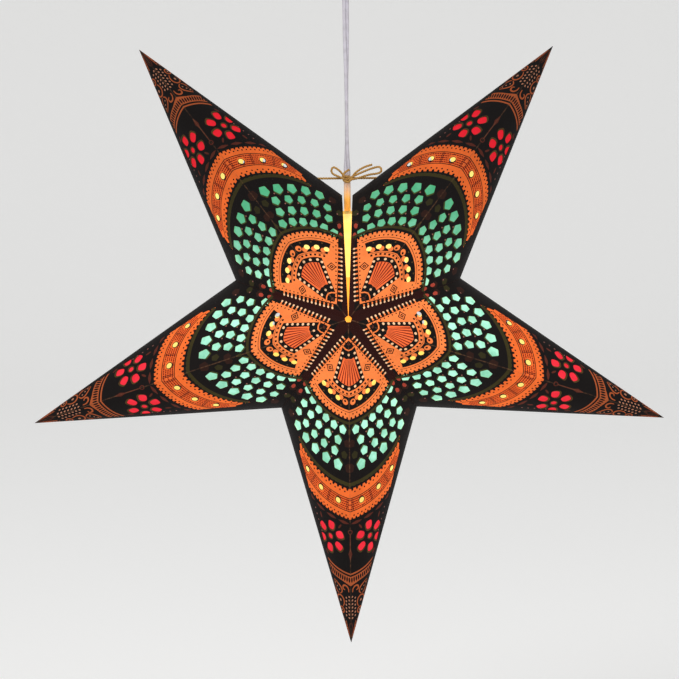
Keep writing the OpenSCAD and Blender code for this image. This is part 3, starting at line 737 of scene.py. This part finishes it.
star_at = Vector((0, 0, -0.35))
point_names = ["right", "upper_right", "upper_left", "left", "bottom"]
point_angles = {"bottom": 270, "right": 270 + pitch, "upper_right": 270 + 2 * pitch,
                "left": 270 - pitch, "upper_left": 270 - 2 * pitch}
corner_inks = np.repeat(np.concatenate([tints, np.ones((len(tints), 1))], 1), 3, 0)
for name in point_names:
    a = math.radians(point_angles[name])
    out, along = np.array((math.cos(a), 0, math.sin(a))), np.array((-math.sin(a), 0, math.cos(a)))
    placed = (whole_points[:, :1] * out + whole_points[:, 1:2] * along
              + whole_points[:, 2:3] * np.array((0, -1, 0))) / 1000 + np.array(star_at)
    mesh = bpy.data.meshes.new("printed_point_" + name)
    mesh.from_pydata(placed, [], whole_faces)
    inked = mesh.attributes.new("print", "FLOAT_COLOR", "CORNER")
    inked.data.foreach_set("color", corner_inks.ravel())
    mesh.attributes.new("off_folds", "FLOAT_VECTOR", "POINT").data.foreach_set("vector", off_folds.ravel())
    mesh.polygons.foreach_set("material_index", slots)
    mesh.materials.append(printed_card)
    mesh.materials.append(lit_inside)
    mesh.shade_smooth()
    mesh.set_sharp_from_angle(angle=math.radians(30))
    point = bpy.data.objects.new("printed_point_" + name, mesh)
    bpy.context.collection.objects.link(point)
    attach(point, "root")
    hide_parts("point_" + name)


# Tissue: coloured tissue paper glued behind the windows, green behind the lattice and red behind the
# flowers. It is thin and creased, so the lamp shows through it in soft patches.
for tissue, deep_tone, lit_tone, level in [
        ("green_tissue", ink(28, 150, 94), ink(184, 253, 226), 0.84),
        ("red_tissue", ink(214, 18, 36), ink(255, 52, 70), 0.75)]:
    paper = bpy.data.materials.new("lit_" + tissue)
    paper.use_nodes = True
    paper.cycles.emission_sampling = "NONE"
    nodes, links = paper.node_tree.nodes, paper.node_tree.links
    skin = nodes["Principled BSDF"]
    skin.inputs["Roughness"].default_value = 0.85
    skin.inputs["Specular IOR Level"].default_value = 0.2
    place = nodes.new("ShaderNodeTexCoord")
    far, height = from_lamp()
    shine = sums("MULTIPLY", ranged(far, 0.1, 0.23, 1.0, 0.28 if tissue == "green_tissue" else 0.75),
                 ranged(height, -0.02, 0.1, 1.0, 0.22))
    shine = sums("MULTIPLY", shine, ranged(noise(70, 4, 0.6), 0.25, 0.75, 0.6, 1.25))
    tone = nodes.new("ShaderNodeValToRGB")
    tone.color_ramp.elements[0].color = (*deep_tone, 1)
    tone.color_ramp.elements[1].color = (*lit_tone, 1)
    links.new(shine, tone.inputs["Fac"])
    # The tissue's side that faces the lamp is painted pale yellow, as lit by the lamp; the other side shows
    # the tone.
    faced = nodes.new("ShaderNodeNewGeometry")
    toward = nodes.new("ShaderNodeVectorMath")
    toward.operation = "SUBTRACT"
    toward.inputs[1].default_value = lamp_at
    links.new(place.outputs["Object"], toward.inputs[0])
    turned = nodes.new("ShaderNodeVectorMath")
    turned.operation = "DOT_PRODUCT"
    links.new(faced.outputs["True Normal"], turned.inputs[0])
    links.new(toward.outputs[0], turned.inputs[1])
    lamp_lit_side = nodes.new("ShaderNodeMix")
    lamp_lit_side.data_type = "RGBA"
    lamp_lit_side.inputs["A"].default_value = (*ink(255, 226, 120), 1)
    links.new(ranged(turned.outputs["Value"], -0.002, 0.002, 0.0, 1.0), lamp_lit_side.inputs["Factor"])
    links.new(tone.outputs["Color"], lamp_lit_side.inputs["B"])
    grain = ranged(noise(300, 3), 0.2, 0.8, 0.3, 0.42)
    links.new(tinted(grain, lamp_lit_side.outputs["Result"]), skin.inputs["Base Color"])
    links.new(lamp_lit_side.outputs["Result"], skin.inputs["Emission Color"])
    skin.inputs["Emission Strength"].default_value = level
    bumped(noise(160, 6, 0.65), 0.0006, 0.4)
    for name in point_names:
        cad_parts[tissue + "_" + name].data.materials[0] = paper


# Tie strings and bow: natural fibre twine of three twisted strands. One string comes out of each upper
# point and the two are tied over the cord in a knot with two loops and two ends.
string_d = 0.0022
strand_count, strand_sides, strand_off, strand_r, strand_turn = 3, 7, 0.235, 0.275, 3.4
stop_half = 0.0026
knot_at = np.array((0, -0.00555, -0.222))
bow_y = -0.00242
twine = bpy.data.materials.new("natural_twine")
twine.use_nodes = True
nodes, links = twine.node_tree.nodes, twine.node_tree.links
skin = nodes["Principled BSDF"]
skin.inputs["Roughness"].default_value = 0.8
place = nodes.new("ShaderNodeTexCoord")
tone = nodes.new("ShaderNodeValToRGB")
tone.color_ramp.elements[0].position = 0.3
tone.color_ramp.elements[0].color = (*ink(150, 104, 44), 1)
tone.color_ramp.elements[1].position = 0.7
tone.color_ramp.elements[1].color = (*ink(226, 178, 98), 1)
links.new(noise(900, 5, 0.7), tone.inputs["Fac"])
links.new(tone.outputs["Color"], skin.inputs["Base Color"])
bumped(noise(2600, 3), 0.0003, 0.6)


def twined(name, points, thick, stops=()):
    """Strands twisted round a smooth line through points, with stop knots at shares of its length."""
    line = np.array(flowing(points, 9))
    way = np.gradient(line, axis=0)
    way = way / np.linalg.norm(way, axis=1)[:, None]
    run = np.concatenate([[0], np.cumsum(np.linalg.norm(np.diff(line, axis=0), axis=1))])
    fine = np.linspace(0, run[-1], max(24, int(run[-1] / 0.0006)))
    centre = np.stack([np.interp(fine, run, line[:, k]) for k in range(3)], 1)
    way = np.stack([np.interp(fine, run, way[:, k]) for k in range(3)], 1)
    way = way / np.linalg.norm(way, axis=1)[:, None]
    off = np.cross(way, (0.0, 1.0, 0.0))
    off = off / np.maximum(np.linalg.norm(off, axis=1), 1e-6)[:, None]
    up = np.cross(way, off)
    swell = np.ones(len(fine))
    for at, size in stops:
        near = np.maximum(0, 1 - ((fine - at * fine[-1]) / stop_half) ** 2)
        swell = np.maximum(swell, size / thick * np.sqrt(near))
    points_made, faces_made = [], []
    for strand in range(strand_count):
        turn = 2 * math.pi * (fine / (strand_turn * thick) + strand / strand_count)
        aside = off * np.cos(turn)[:, None] + up * np.sin(turn)[:, None]
        middle = centre + aside * (strand_off * thick * swell)[:, None]
        faces_made += ring_faces(len(fine), strand_sides, len(points_made))
        for i in range(len(fine)):
            for b in np.arange(strand_sides) * 2 * math.pi / strand_sides:
                rim = off[i] * math.cos(b) + up[i] * math.sin(b)
                points_made.append(middle[i] + rim * strand_r * thick * swell[i])
    piece = closed_piece(name, points_made, faces_made, 60)
    piece.data.materials.append(twine)
    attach(piece, "root")
    return piece, [tuple(p) for p in centre], float(run[-1])


def from_knot(right, forward, up):
    """A place on the bow, in mm from the knot."""
    return knot_at + np.array((right, bow_y * 1000 - forward, up)) / 1000


def root(angle):
    """A place where the string leaves the knot, by degrees from the right."""
    return from_knot(2.6 * math.cos(math.radians(angle)), 0, 2.6 * math.sin(math.radians(angle)))


stop_x, hole_x, hole_y, tie_z = 0.0353, 0.0269, -0.004, knot_at[2]
stop_d, stop_share = 0.005, 0.045
tie, tie_path, tie_length = twined("tie_string", [
    (-stop_x - string_d, hole_y, tie_z), (-hole_x, hole_y, tie_z), (-0.009, -0.0049, tie_z), tuple(knot_at),
    (0.009, -0.0049, tie_z), (hole_x, hole_y, tie_z), (stop_x + string_d, hole_y, tie_z)],
    string_d, [(stop_share, stop_d), (1 - stop_share, stop_d)])
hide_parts("tie_string_left", "tie_string_right")
left_loop, left_path, left_length = twined("bow_loop_left", [
    root(150), from_knot(-7, 0, 7), from_knot(-12.5, 0, 10.5), from_knot(-14.8, 0, 8),
    from_knot(-13.6, 0, 4.4), from_knot(-8, 0, 1.6), root(197)], string_d)
right_loop, right_path, right_length = twined("bow_loop_right", [
    root(8), from_knot(12, 0, 4.6), from_knot(22, 5, 8.6), from_knot(30, 10, 10.4),
    from_knot(32.4, 11, 7.5), from_knot(30, 10, 4.6), from_knot(20, 5, 3), from_knot(10, 0, 0),
    root(-38)], string_d)
bow_ends, ends_path, ends_length = twined("bow_ends", [
    from_knot(2.4, 0, 8.2), from_knot(-0.6, 0, 6.6), from_knot(-3.2, 0, 4), from_knot(-4.2, 0, 0.6),
    from_knot(-2.6, 0, -2.6), from_knot(0.6, 0, -3.6), from_knot(3.6, 0, -1.6), from_knot(5.4, 0, 1.8),
    from_knot(8.6, 0, 5.6), from_knot(16, 0, 10.2), from_knot(24, 0, 12.8)], string_d)
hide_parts("bow_loops")
knot_line, knot_size = [], 0.00094
for a in list(np.linspace(0, 2 * math.pi, 40, endpoint=False)) + [0.0]:
    trefoil = (math.sin(a) + 2 * math.sin(2 * a), -1.2 * math.sin(3 * a), math.cos(a) - 2 * math.cos(2 * a))
    knot_line.append(knot_at + knot_size * np.array(trefoil))
knot, unused, unused = twined("bow_knot_turns", knot_line, string_d)
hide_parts("bow_knot")


# Studio: a pale floor that sweeps up into a wall, two soft lamps, a pale world and the photo's camera.
floor_z, wall_y, sweep_r, floor_half = -0.86, 6.0, 1.5, 9.0
profile = [(-floor_half, floor_z), (wall_y - sweep_r, floor_z)]
for a in np.linspace(0, math.pi / 2, 17)[1:]:
    profile.append((wall_y - sweep_r + sweep_r * math.sin(a), floor_z + sweep_r - sweep_r * math.cos(a)))
profile.append((wall_y, 6.0))
sweep_mesh = bpy.data.meshes.new("studio_sweep")
sweep_mesh.from_pydata([(x, y, z) for y, z in profile for x in (-floor_half, floor_half)], [],
                       [(2 * i, 2 * i + 1, 2 * i + 3, 2 * i + 2) for i in range(len(profile) - 1)])
sweep_mesh.shade_smooth()
sweep = bpy.data.objects.new("studio_sweep", sweep_mesh)
bpy.context.collection.objects.link(sweep)
paper_roll = bpy.data.materials.new("studio_paper")
paper_roll.use_nodes = True
nodes, links = paper_roll.node_tree.nodes, paper_roll.node_tree.links
skin = nodes["Principled BSDF"]
skin.inputs["Base Color"].default_value = (0.8, 0.8, 0.79, 1)
skin.inputs["Roughness"].default_value = 0.9
skin.inputs["Emission Color"].default_value = (0.3, 0.3, 0.3, 1)


def looked_at():
    """1 for rays that show in the picture, also by gloss or through glass, and 0 for lighting."""
    kinds = nodes.new("ShaderNodeLightPath").outputs
    mirrored = sums("MAXIMUM", kinds["Is Glossy Ray"], kinds["Is Transmission Ray"])
    return sums("MAXIMUM", kinds["Is Camera Ray"], mirrored)


links.new(looked_at(), skin.inputs["Emission Strength"])
sweep_mesh.materials.append(paper_roll)

for name, at, size, power in [("key_lamp", (-1.7, -2.2, 1.5), 1.6, 38),
                              ("fill_lamp", (2.0, -1.8, 0.6), 1.8, 18)]:
    lamp = bpy.data.lights.new(name, "AREA")
    lamp.shape = "DISK"
    lamp.size = size
    lamp.energy = power
    stand = bpy.data.objects.new(name, lamp)
    stand.location = at
    stand.rotation_euler = (star_at - Vector(at)).to_track_quat("-Z", "Y").to_euler()
    bpy.context.collection.objects.link(stand)
world = bpy.data.worlds.new("studio_world")
world.use_nodes = True
nodes, links = world.node_tree.nodes, world.node_tree.links
nodes["Background"].inputs["Color"].default_value = (0.9, 0.9, 0.9, 1)
links.new(ranged(looked_at(), 0.0, 1.0, 0.55, 0.85), nodes["Background"].inputs["Strength"])
bpy.context.scene.world = world
bpy.context.scene.view_settings.view_transform = "Standard"

camera_rise, camera_roll, camera_distance = math.radians(3.2), math.radians(-0.5), 2.0
picture_px, metres_per_px = 679, 0.000958
star_px, star_py = 348.3, 312.2
view = bpy.data.cameras.new("photo_camera")
view.sensor_width = 36
view.lens = 36 * camera_distance / (picture_px * metres_per_px)
view.shift_x = (picture_px / 2 - star_px) / picture_px
view.shift_y = (star_py - picture_px / 2) / picture_px
camera = bpy.data.objects.new("photo_camera", view)
camera.location = star_at + camera_distance * Vector((0, -math.cos(camera_rise), math.sin(camera_rise)))
camera.rotation_mode = "ZYX"
camera.rotation_euler = (math.pi / 2 - camera_rise, 0, camera_roll)
bpy.context.collection.objects.link(camera)
bpy.context.scene.camera = camera
